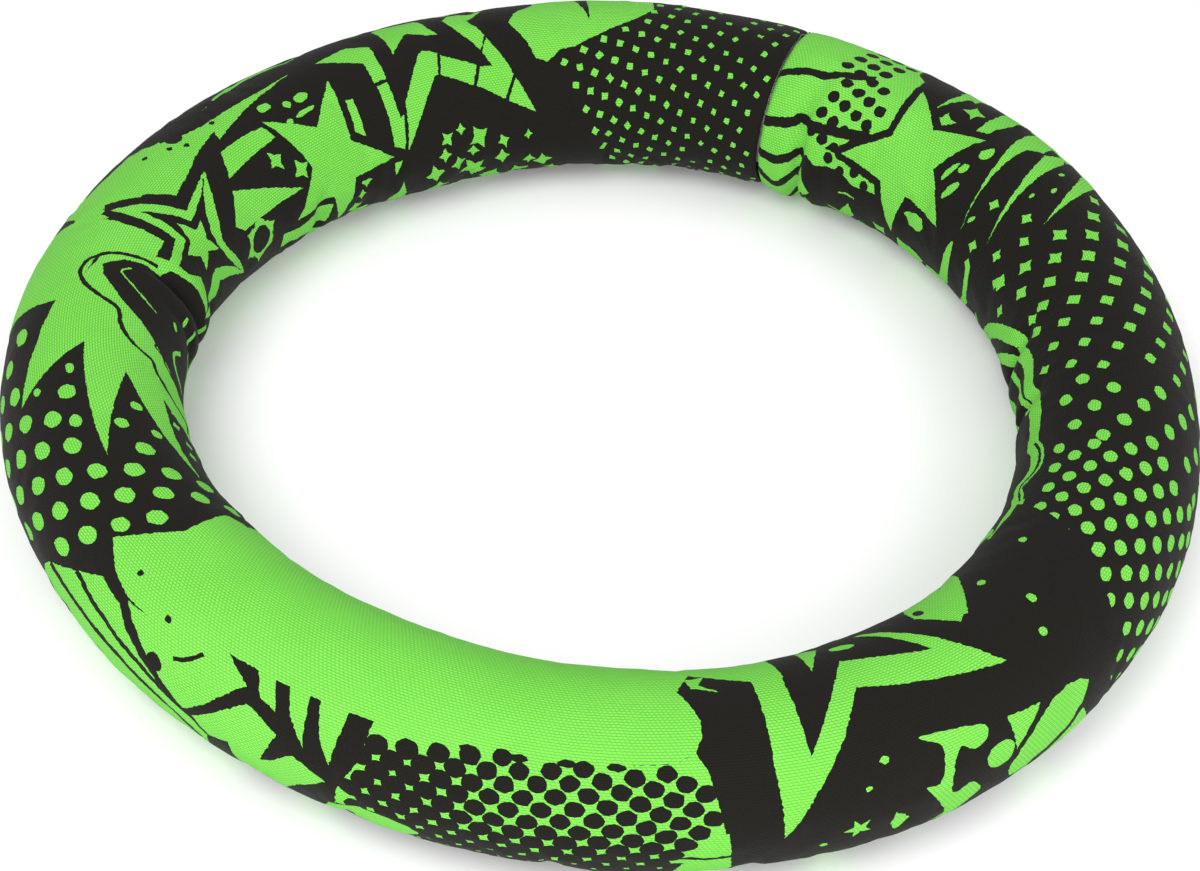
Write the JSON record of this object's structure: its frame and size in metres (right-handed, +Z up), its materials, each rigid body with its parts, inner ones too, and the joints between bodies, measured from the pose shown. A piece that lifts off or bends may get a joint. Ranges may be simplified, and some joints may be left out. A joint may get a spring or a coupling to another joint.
{
  "type": "flying ring",
  "caption": "Soft round flying ring for throwing and catching: a bent foam rod in a printed, knit-faced neoprene sleeve sewn along its inner underside.",
  "frame": {"origin": "middle of the hoop, on the plane that the ring rests on", "axes": "+Z up along the hoop's axis of symmetry; -Y towards the plain green patch of the print, with the sleeve's end seam 70 degrees anticlockwise from +X"},
  "size_m": [0.2497, 0.2498, 0.0378],
  "materials": {
    "printed_knit": "fluorescent green polyester jersey with a warm black print, laminated on foam rubber, matt",
    "white_foam": "closed-cell polyethylene foam, matt",
    "joint_tape": "plain adhesive packing tape, satin",
    "black_thread": "spun polyester sewing thread, matt"
  },
  "bodies": {
    "root": {"sleeve": "printed_knit", "foam_core": "white_foam", "core_joint_tape": "joint_tape", "seam_needle_thread": "black_thread", "seam_bobbin_thread": "black_thread", "end_closing_thread": "black_thread"}
  },
  "joints": []
}
